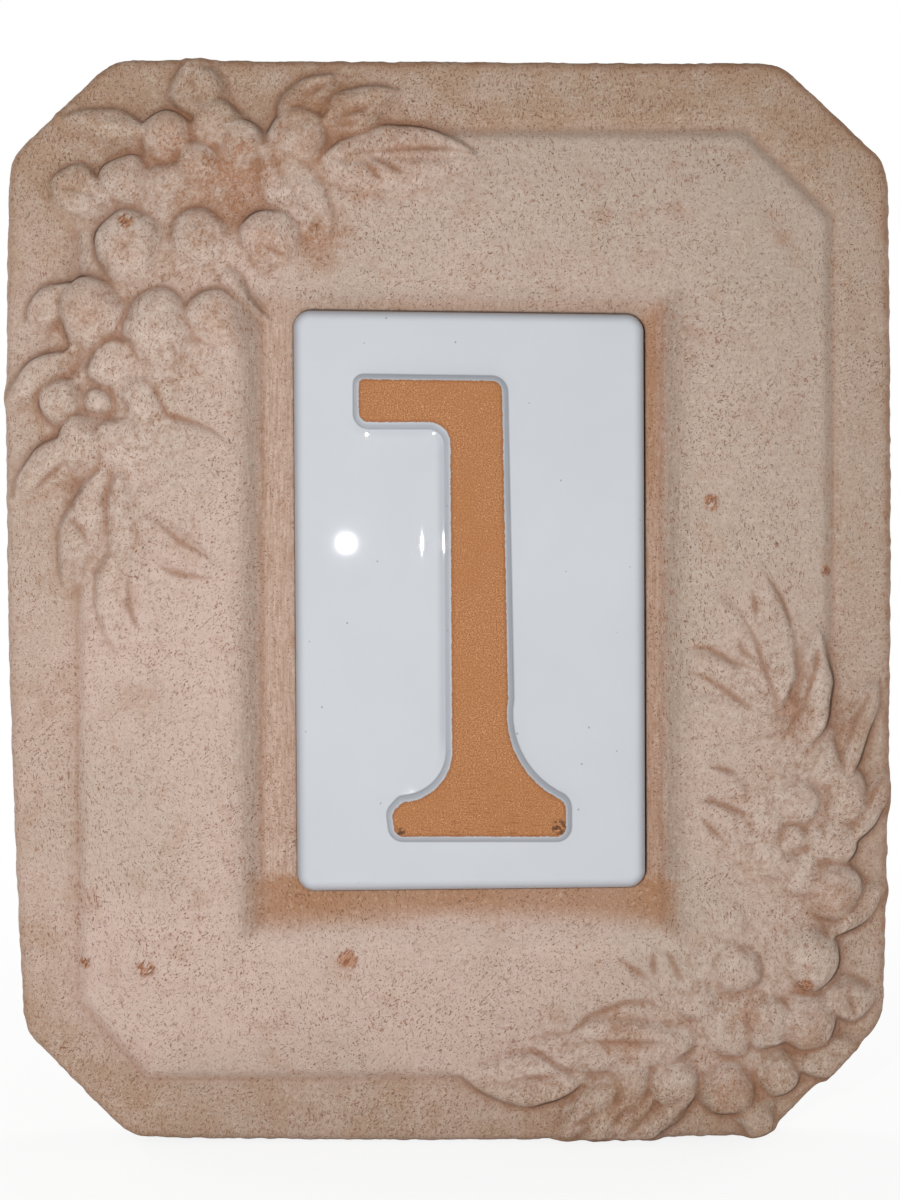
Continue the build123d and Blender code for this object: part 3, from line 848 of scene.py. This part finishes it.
def signed_distance(x, z, line):
    """How far points are inside a closed line, negative outside, and the line's nearest points."""
    distance = np.zeros(len(x))
    nearest = np.zeros((len(x), 2))
    line_x, line_z = line.T
    after_x, after_z = np.roll(line, -1, 0).T
    rise = np.where(after_z == line_z, 1e-9, after_z - line_z)
    for start in range(0, len(x), BATCH):
        part = slice(start, start + BATCH)
        here_x = x[part, None]
        here_z = z[part, None]
        nearest[part] = line[np.argmin((line_x - here_x) ** 2 + (line_z - here_z) ** 2, axis=1)]
        crosses = (line_z > here_z) != (after_z > here_z)
        meets = line_x + (here_z - line_z) * (after_x - line_x) / rise
        inside = np.count_nonzero(crosses & (here_x < meets), axis=1) % 2 == 1
        away = np.hypot(nearest[part, 0] - x[part], nearest[part, 1] - z[part])
        distance[part] = np.where(inside, away, -away)
    return distance, nearest


def tile_grid():
    """Points of the tile's face in plan, with their distance from its outline, on rows and columns."""
    width = TILE_CORNERS[1][0] - TILE_CORNERS[0][0]
    length = TILE_CORNERS[0][1] - TILE_CORNERS[3][1]
    turns = np.linspace(0, pi / 2, TILE_EDGE_ROWS)[:-1]
    insets = TILE_FRONT_RADIUS * (1 - np.cos(turns))

    def stations(size):
        count = int((size - 2 * TILE_FRONT_RADIUS) / TILE_STEP)
        middle = np.linspace(TILE_FRONT_RADIUS, size - TILE_FRONT_RADIUS, count)
        return np.concatenate([insets, middle, size - insets[::-1]])

    across, up = np.meshgrid(stations(width), stations(length))
    side_x = np.minimum(across, width - across)
    side_z = np.minimum(up, length - up)
    inset = np.minimum(side_x, side_z)
    radius = TILE_CORNER_RADIUS
    corner = (side_x < radius) & (side_z < radius)
    reach = radius - inset
    with np.errstate(divide="ignore", invalid="ignore"):
        share = np.where(reach > 0, (radius - np.maximum(side_x, side_z)) / reach, 0)
    turn = pi / 4 * share
    long_x = radius - reach * np.where(side_x < side_z, np.cos(turn), np.sin(turn))
    long_z = radius - reach * np.where(side_x < side_z, np.sin(turn), np.cos(turn))
    place_x = np.where(across < width / 2, long_x, width - long_x)
    place_z = np.where(up < length / 2, long_z, length - long_z)
    right = (np.where(corner, place_x, across) / width)[..., None]
    high = (np.where(corner, place_z, up) / length)[..., None]
    top_left, top_right, low_right, low_left = (np.array(c) for c in TILE_CORNERS)
    low_points = low_left * ((1 - right) * (1 - high)) + low_right * (right * (1 - high))
    return low_points + top_left * ((1 - right) * high) + top_right * (right * high), inset


def number_tile():
    """The glazed tile: a soft-edged slab with the numeral swelling from a cove."""
    grid, inset = tile_grid()
    x, z = grid.reshape(-1, 2).T
    index = np.arange(len(x)).reshape(inset.shape)
    inset = inset.ravel()
    inside, nearest = signed_distance(x, z, numeral_line())
    snap = np.abs(inside) < SNAP_SHARE * TILE_STEP
    x = np.where(snap, nearest[:, 0], x)
    z = np.where(snap, nearest[:, 1], z)
    inside = np.where(snap, 0, inside)

    bottom = POCKET_FLOOR + BED_THICKNESS
    face = bottom + TILE_THICKNESS
    edge = above(TILE_FRONT_RADIUS - inset)
    drop = TILE_FRONT_RADIUS - np.sqrt(above(TILE_FRONT_RADIUS ** 2 - edge ** 2))
    away = above(-inside)
    left_of_stem = eased(x, 2.0, -2.0) * eased(z, FLAG_UNDER + 2, FLAG_UNDER - 8) * eased(z, -40.0, -28.0)
    cove_reach = COVE_REACH + (STEM_COVE_REACH - COVE_REACH) * left_of_stem
    cove_radius = COVE_RADIUS + (STEM_COVE_RADIUS - COVE_RADIUS) * left_of_stem
    cove = above(cove_reach - away) ** 2 / (2 * cove_radius)
    wall = unit(1 - away / NUMERAL_FLARE)
    swell = np.where(inside >= 0, NUMERAL_RISE, cove + (NUMERAL_RISE - cove) * wall)
    drop = drop + PILLOW_DROP * unit(1 - inset / PILLOW_REACH) ** 2
    glaze = at_points(ripple(*GLAZE_WAVES), x, z) * unit((inset - 1) / 4) * (inside < 0)
    level = face - drop + swell + glaze - GLAZE_SHRINK
    points = np.column_stack([x, level, z])

    quads = [np.column_stack([index[:-1, :-1].ravel(), index[1:, :-1].ravel(),
                              index[1:, 1:].ravel(), index[:-1, 1:].ravel()])]
    upper = np.concatenate([index[0, :-1], index[:-1, -1], index[-1, :0:-1], index[:0:-1, 0]])
    rim_x, rim_level, rim_z = points[upper].T
    middle = (rim_x.mean(), rim_z.mean())
    for share, inward in TILE_SIDE:
        ring_x = rim_x + (middle[0] - rim_x) * inward
        ring_z = rim_z + (middle[1] - rim_z) * inward
        lower = len(points) + np.arange(len(upper))
        ring = np.column_stack([ring_x, rim_level * (1 - share) + bottom * share, ring_z])
        points = np.vstack([points, ring])
        quads.append(np.column_stack([upper, np.roll(upper, -1), np.roll(lower, -1), lower]))
        upper = lower
    fan = (len(points), upper.tolist())
    points = np.vstack([points, [(middle[0], bottom, middle[1])]])
    piece = mesh_piece("tile_glazed", points, np.vstack(quads), [fan])

    added = len(points) - len(inside)
    marks = [("numeral", inside, FAR_OUTSIDE), ("soft_side", left_of_stem, 0.0), ("inset", inset, 0.0)]
    for name, values, beyond in marks:
        write_attribute(piece, name, np.concatenate([values, np.full(added, beyond)]))
    return piece


class Nodes:
    """Short names for the nodes of one material or world, with sizes in millimetres."""

    def __init__(self, owner):
        owner.use_nodes = True
        self.owner = owner
        self.tree = owner.node_tree
        self.place = self.add("TexCoord").outputs["Object"]

    def add(self, kind, inputs=None, **settings):
        """A new node with these settings and inputs."""
        node = self.tree.nodes.new("ShaderNode" + kind)
        for name, value in settings.items():
            setattr(node, name, value)
        self.feed(node, inputs or {})
        return node

    def feed(self, node, inputs):
        """Set inputs of a node to numbers and colours, or link them to other nodes."""
        for name, value in inputs.items():
            socket = node.inputs[name]
            if isinstance(value, bpy.types.NodeSocket):
                self.tree.links.new(value, socket)
            elif isinstance(value, tuple):
                socket.default_value = (*value, 1.0)[:len(socket.default_value)]
            else:
                socket.default_value = value

    def feed_first(self, name, inputs):
        """Set inputs of a node that the tree came with, and return it."""
        node = self.tree.nodes[name]
        self.feed(node, inputs)
        return node

    def attribute(self, name):
        return self.add("Attribute", attribute_name=name).outputs["Fac"]

    def scaled(self, size, turn=0.0):
        """Coordinates turned in the plane of the face, with this size along X, Y and Z as one unit."""
        sizes = size if isinstance(size, tuple) else (size, size, size)
        inputs = {"Vector": self.place, "Scale": tuple(s * MM for s in sizes), "Rotation": (0.0, turn, 0.0)}
        return self.add("Mapping", inputs, vector_type="TEXTURE").outputs["Vector"]

    def noise(self, size, detail=3.0, roughness=0.55, turn=0.0):
        inputs = {"Vector": self.scaled(size, turn), "Scale": 1.0, "Detail": detail, "Roughness": roughness}
        return self.add("TexNoise", inputs).outputs["Fac"]

    def cells(self, size):
        return self.add("TexVoronoi", {"Vector": self.scaled(size), "Scale": 1.0}).outputs["Distance"]

    def span(self, value, low, high, first=0.0, last=1.0, kind="SMOOTHSTEP"):
        """Value taken from first to last as it goes from low to high."""
        inputs = {"Value": value, "From Min": low, "From Max": high, "To Min": first, "To Max": last}
        return self.add("MapRange", inputs, interpolation_type=kind).outputs["Result"]

    def maths(self, operation, *values):
        clamped = operation in ("ADD", "MULTIPLY")
        node = self.add("Math", dict(enumerate(values)), operation=operation, use_clamp=clamped)
        return node.outputs["Value"]

    def times(self, product, *factors):
        for factor in factors:
            product = self.maths("MULTIPLY", product, factor)
        return product

    def mix(self, factor, first, second):
        return self.add("Mix", {0: factor, 6: first, 7: second}, data_type="RGBA").outputs[2]

    def coats(self, colour, layers):
        """Lay colours over another: where each lies, how strong it is, and its tint."""
        for factor, strength, tint in layers:
            colour = self.mix(self.times(factor, strength), colour, srgb(*tint))
        return colour

    def near(self, x, z, radius):
        """One at a place on the face, falling to nothing at the radius."""
        flat = self.add("VectorMath", {0: self.place, 1: (1.0, 0.0, 1.0)}, operation="MULTIPLY")
        ends = {0: flat.outputs["Vector"], 1: (x * MM, 0.0, z * MM)}
        away = self.add("VectorMath", ends, operation="DISTANCE").outputs["Value"]
        return self.span(away, 0.5 * radius * MM, radius * MM, 1.0, 0.0)

    def bump(self, value, depth, under=None):
        """A bump of so many millimetres, on top of another."""
        inputs = {"Height": value, "Strength": 1.0, "Distance": depth * MM}
        if under is not None:
            inputs["Normal"] = under
        return self.add("Bump", inputs).outputs["Normal"]


def new_material(name):
    return Nodes(bpy.data.materials.new(name))


def srgb(red, green, blue):
    """A colour as seen on a screen, from 0 to 255, as light."""
    def light(level):
        share = level / 255
        return share / 12.92 if share <= 0.04045 else ((share + 0.055) / 1.055) ** 2.4
    return light(red), light(green), light(blue)


def terracotta():
    """Pale washed terracotta, brown in its hollows, with pores, brush marks and rust spots, and with shade
    painted on the relief's steep outer sides, the dish slopes, the turned edge and the pocket, and a
    highlight painted on the slope below the tile.
    """
    paint = new_material("terracotta")
    noise = paint.noise
    span = paint.span
    times = paint.times
    depth = paint.add("SeparateXYZ", {"Vector": paint.place}).outputs["Y"]
    front = span(depth, -FACE_LEVELS[1] * MM, -FACE_LEVELS[0] * MM, 1, 0)

    def on_face(name):
        return times(paint.attribute(name), front)

    patch = noise(9, 3, 0.6)
    mottle = noise(1, 3, 0.65)
    grain = noise(0.6, 3, 0.7)
    brushed = noise((5, 5, 0.5), 3, 0.6)
    combed = noise((0.5, 5, 6), 3, 0.6)
    wash = noise(2.4, 3, 0.7)
    blotch = noise(5, 2, 0.6)
    garland = on_face("garland")
    browned = on_face("browned")
    dish = on_face("dish")

    # Wash over the face, its borders and its garlands
    patchy = times(browned, span(patch, 0.36, 0.62, 0.5, 1))
    strokes = span(noise((0.6, 0.6, 1.9), 3, 0.6, turn=0.5), 0.55, 0.66)
    sponged = span(noise(0.8, 3, 0.7), 0.4, 0.58, 0.4, 1)
    blotched = times(on_face("stain"), span(blotch, 0.36, 0.56, 0.35, 1), sponged)
    layers = [
        (span(noise(38, 1), 0.4, 0.65), 0.5, (178, 162, 147)),
        (patchy, 0.85, (164, 136, 111)),
        (span(patch, 0.52, 0.72), 0.4, (172, 140, 118)),
        (span(brushed, 0.52, 0.7), 0.25, (206, 190, 179)),
        (span(combed, 0.55, 0.72), 0.2, (164, 139, 122)),
        (times(garland, span(wash, 0.48, 0.66)), 0.5, (148, 110, 84)),
        (times(garland, span(wash, 0.47, 0.33)), 0.4, (210, 193, 181)),
        (on_face("hollow"), 0.5, (158, 114, 84)),
        (on_face("crest"), 0.22, (208, 190, 177)),
        (times(garland, strokes), 0.4, (140, 102, 78)),
        (blotched, 0.95, (154, 106, 74)),
    ]

    # Dish round the tile, wiped along its length, with shade painted grey on its slopes and a highlight
    # painted on the slope below the tile
    streaked_slope_shade = times(on_face("slope"), span(combed, 0.35, 0.6, 0.6, 1))
    layers += [
        (dish, 0.7, (188, 162, 147)),
        (times(dish, span(combed, 0.5, 0.64)), 0.5, (156, 122, 102)),
        (times(dish, span(combed, 0.47, 0.36)), 0.45, (212, 190, 177)),
        # Painted shade, grey and streaked, on the dish's slopes
        (streaked_slope_shade, 0.85, (150, 131, 116)),
        # Painted highlight on the slope below the tile, which faces the light
        (on_face("slope_highlight"), 0.4, (208, 188, 175)),
        (on_face("ochre"), 0.95, (158, 113, 78)),
        (on_face("valley"), 0.75, (146, 108, 84)),
    ]

    # Mottle, specks, pores and pits of the clay
    crowd = span(noise(11, 3), 0.35, 0.62, 0.45, 1)
    sway = span(noise(45, 1), 0.46, 0.54)
    leaning = span(noise((0.32, 0.32, 0.9), 2, 0.5, turn=0.9), 0.61, 0.68)
    upright = span(noise((0.32, 0.32, 1.1), 2, 0.5, turn=-0.15), 0.61, 0.68)
    pores = span(noise(0.36, 2, 0.5), 0.63, 0.7)
    specks = paint.maths("ADD", paint.mix(sway, leaning, upright), pores)
    flecks = span(noise((0.75, 0.75, 1.5), 2, 0.55, turn=-0.3), 0.62, 0.7)
    crumbs = span(noise((0.5, 0.5, 0.8), 3, 0.65, turn=0.3), 0.54, 0.64)
    layers += [
        (span(mottle, 0.5, 0.72), 0.22, (142, 114, 94)),
        (span(mottle, 0.48, 0.3), 0.22, (214, 200, 188)),
        (times(specks, crowd), 0.85, (124, 82, 58)),
        (times(flecks, crowd), 0.7, (144, 97, 69)),
        (times(crumbs, browned), 0.75, (134, 98, 70)),
        (span(paint.cells(7), 0.03, 0.06, 1, 0), 0.6, (100, 70, 52)),
    ]

    rusted = span(noise(1.7, 2, 0.75), 0.42, 0.52)
    burnt = span(noise((0.6, 0.6, 1.6), 3, 0.6, turn=0.6), 0.47, 0.56)
    for place in RUST_SPOTS:
        spot = times(paint.near(*place), front)
        layers += [(times(spot, rusted), 0.8, (172, 122, 90)), (times(spot, burnt), 0.8, (122, 74, 50))]

    # Creases, painted shade on the relief's steep outer sides and where the edge turns to the side, browned
    # edges, and shade painted dark in the pocket
    edging = times(on_face("edging"), span(blotch, 0.36, 0.56, 0.4, 1))
    turned = span(depth, -(BORDER_TOP - 0.7) * MM, -(BORDER_TOP - 1.7) * MM)
    turned = times(turned, span(depth, -12.5 * MM, -8.0 * MM, 1, 0))
    layers += [
        (on_face("crease"), 0.7, (140, 98, 72)),
        # Painted shadow on the relief's steep outer sides
        (span(on_face("shade"), 0.2, 0.7), 0.8, (84, 60, 46)),
        (edging, 0.6, (140, 98, 70)),
        # Painted shade where the border's front edge turns down to the side
        (times(turned, paint.attribute("border")), 0.6, (104, 78, 60)),
        # Shade painted dark on the pocket's walls and floor
        (paint.attribute("pocket"), 0.95, (58, 40, 30)),
    ]
    clay = paint.mix(on_face("pale"), srgb(182, 163, 149), srgb(198, 174, 162))
    paint.feed_first("Principled BSDF", {
        "Base Color": paint.coats(clay, layers),
        "Roughness": span(grain, 0.3, 0.7, 0.82, 0.95),
        "Normal": paint.bump(pores, -0.12, paint.bump(grain, 0.07)),
        "Specular IOR Level": 0.25,
    })
    return paint.owner


def glaze_and_clay():
    """White glaze, wavy and glossy, and bare sandy clay on top of the numeral, with glints painted on the
    sand and shade painted at the tile's edge and round the numeral's sides.
    """
    paint = new_material("tile_glaze")
    noise = paint.noise
    span = paint.span
    times = paint.times
    inside = paint.attribute("numeral")
    edge = paint.maths("MULTIPLY_ADD", noise(1, 4, 0.75), 0.8, paint.maths("SUBTRACT", inside, 0.4))
    bare = span(edge, -0.08, 0.10)

    sand = noise(0.32, 3, 0.75)
    clay = paint.mix(span(sand, 0.38, 0.64), srgb(148, 92, 54), srgb(202, 145, 97))
    clay = paint.mix(span(noise(14, 3), 0.4, 0.7, 0, 0.5), clay, srgb(174, 114, 68))
    scored = times(span(noise((4, 4, 0.35), 2), 0.58, 0.68), paint.near(8, -52, 20))
    layers = [
        # Pale specks on the sand, painted as glints of light
        (span(noise(0.35, 1), 0.69, 0.75), 0.6, (236, 196, 150)),
        (span(edge, 0.15, 0.9, 1, 0), 0.4, (128, 76, 42)),
        (scored, 0.7, (132, 78, 42)),
    ]
    broken = span(noise(0.8), 0.4, 0.55)
    layers += [(times(paint.near(*place), broken), 0.85, (70, 40, 24)) for place in NUMERAL_CHIPS]
    clay = paint.coats(clay, layers)

    # Glaze: dots; shade painted grey where the tile's edge rounds off and on the numeral's steep sides, with
    # shade painted as a dark line at their foot, or as a broad soft shade left of the stem
    soft = paint.attribute("soft_side")
    hard = paint.maths("SUBTRACT", 1, soft)
    side = times(span(inside, -1.6, -1.2), span(inside, -0.9, -0.1, 1, 0.3))
    shade = times(span(inside, -3.6, -1.6), span(inside, -1.4, -0.3, 1, 0), soft)
    foot = times(span(inside, -1.65, -1.35), span(inside, -1.25, -0.9, 1, 0), hard)
    glaze = paint.mix(noise(26, 2), srgb(190, 194, 199), srgb(198, 201, 206))
    glaze = paint.coats(glaze, [
        (span(paint.cells(6), 0.03, 0.05, 1, 0), 0.6, (112, 110, 110)),
        # Painted shade where the tile's edge rounds off
        (span(paint.attribute("inset"), 0.2, 2.6, 1, 0), 0.5, (140, 144, 153)),
        # Painted shade on the numeral's steep glazed sides
        (side, span(soft, 0, 1, 0.45, 0.2), (140, 143, 152)),
        (shade, 0.5, (146, 150, 159)),
        # Painted shade as a dark line at the foot of the numeral's sides
        (foot, 0.4, (96, 99, 108)),
    ])
    paint.feed_first("Principled BSDF", {
        "Base Color": paint.mix(bare, glaze, clay),
        "Roughness": span(bare, 0, 1, 0.015, 0.92),
        "Normal": paint.bump(times(sand, bare), 0.22, paint.bump(noise(15, 1), 0.006)),
    })
    return paint.owner


def adhesive():
    """Grey tile adhesive with a fine sandy grain."""
    paint = new_material("tile_adhesive")
    grain = paint.noise(0.9, 3, 0.7)
    paint.feed_first("Principled BSDF", {
        "Base Color": paint.mix(grain, srgb(140, 134, 126), srgb(176, 170, 160)),
        "Normal": paint.bump(grain, 0.2),
        "Roughness": 0.95,
    })
    return paint.owner


def dress(piece, node, material):
    """Put a piece in the place of a CAD node."""
    piece.data.materials.append(material)
    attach(piece, "root")
    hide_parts(node)


# Studio
AMBIENT = 0.345
FLASH_POWER = 1.05
FLASH_SIZE = 0.005
FLASH_PLACE = (-0.046, -0.43, 0.025)
FILL_POWER = 3.0
FILL_SIZE = 0.5
FILL_PLACES = [(-0.65, 0.35, 0.25), (0.65, 0.35, 0.25)]
CAMERA_PLACE = (0.00034, -0.435, 0.0)
LENS = 55.9
SENSOR = 36.0
FLOOR_DROP = 0.0003
FLOOR_REACH = 6.0
FLOOR_GREY = 0.9
FLOOR_WHITE_SHARE = 0.86
FLOOR_FADE = (0.15, 0.5)
WHITE = (1.0, 1.0, 1.0)


def white_to_view(nodes, shader, white, share):
    """A shader that gives way to plain white, by a share, for rays that see the background."""
    path = nodes.add("LightPath").outputs
    mirrored = nodes.maths("MAXIMUM", path["Is Glossy Ray"], path["Is Transmission Ray"])
    seen = nodes.maths("MAXIMUM", path["Is Camera Ray"], mirrored)
    return nodes.add("MixShader", {0: nodes.times(seen, share), 1: shader, 2: white}).outputs["Shader"]


def world_light():
    """Soft light from all round, which shows as white."""
    world = bpy.data.worlds.new("studio")
    bpy.context.scene.world = world
    nodes = Nodes(world)
    soft = nodes.feed_first("Background", {"Color": WHITE, "Strength": AMBIENT}).outputs["Background"]
    white = nodes.add("Background", {"Color": WHITE}).outputs["Background"]
    nodes.feed_first("World Output", {"Surface": white_to_view(nodes, soft, white, 1.0)})


def pale_floor():
    """A white floor just under the plaque that still takes its shadow."""
    low = CAD_BOX[0][2] - FLOOR_DROP
    mesh = bpy.data.meshes.new("floor")
    corners = [(x * FLOOR_REACH, y * FLOOR_REACH, low) for x, y in ((-1, -1), (1, -1), (1, 1), (-1, 1))]
    mesh.from_pydata(corners, [], [(0, 1, 2, 3)])
    nodes = new_material("floor_white")
    matt = nodes.feed_first("Principled BSDF", {
        "Base Color": (FLOOR_GREY, FLOOR_GREY, FLOOR_GREY),
        "Roughness": 1.0,
        "Specular IOR Level": 0.0,
    })
    away = nodes.add("VectorMath", {0: nodes.place}, operation="LENGTH").outputs["Value"]
    share = nodes.span(away, *FLOOR_FADE, FLOOR_WHITE_SHARE, 1.0, "LINEAR")
    white = nodes.add("Emission").outputs["Emission"]
    nodes.feed_first("Material Output", {"Surface": white_to_view(nodes, matt.outputs["BSDF"], white, share)})
    mesh.materials.append(nodes.owner)
    placed("floor", mesh)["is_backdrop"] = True


def lamp(name, place, target, size, power):
    """A round soft lamp turned towards a target."""
    light = bpy.data.lights.new(name, "AREA")
    light.shape = "DISK"
    light.size = size
    light.energy = power
    holder = placed(name, light, place)
    holder.rotation_euler = (Vector(target) - Vector(place)).to_track_quat("-Z", "Y").to_euler()
    holder.visible_camera = False


def lamps():
    """A small lamp beside the lens, as the photograph was lit, and two soft ones for the sides and back."""
    lamp("flash", FLASH_PLACE, (FLASH_PLACE[0], 0.0, FLASH_PLACE[2]), FLASH_SIZE, FLASH_POWER)
    for number, place in enumerate(FILL_PLACES):
        lamp(f"fill_{number}", place, (0.0, 0.0, 0.0), FILL_SIZE, FILL_POWER)


def camera():
    """A camera square to the face, as the photograph was taken."""
    lens = bpy.data.cameras.new("camera")
    lens.lens = LENS
    lens.sensor_width = SENSOR
    holder = placed("camera", lens, CAMERA_PLACE)
    holder.rotation_euler = (pi / 2, 0.0, 0.0)
    bpy.context.scene.camera = holder


def plain(box):
    return [list(map(float, corner)) for corner in box]


dress(terracotta_frame(), "terracotta_frame", terracotta())
dress(number_tile(), "number_tile", glaze_and_clay())
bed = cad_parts["adhesive_bed"]
bed.data.materials.clear()
bed.data.materials.append(adhesive())
world_light()
pale_floor()
lamps()
camera()
bpy.context.scene.view_settings.view_transform = "Standard"

{"cad": plain(CAD_BOX), "visual": plain(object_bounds())}
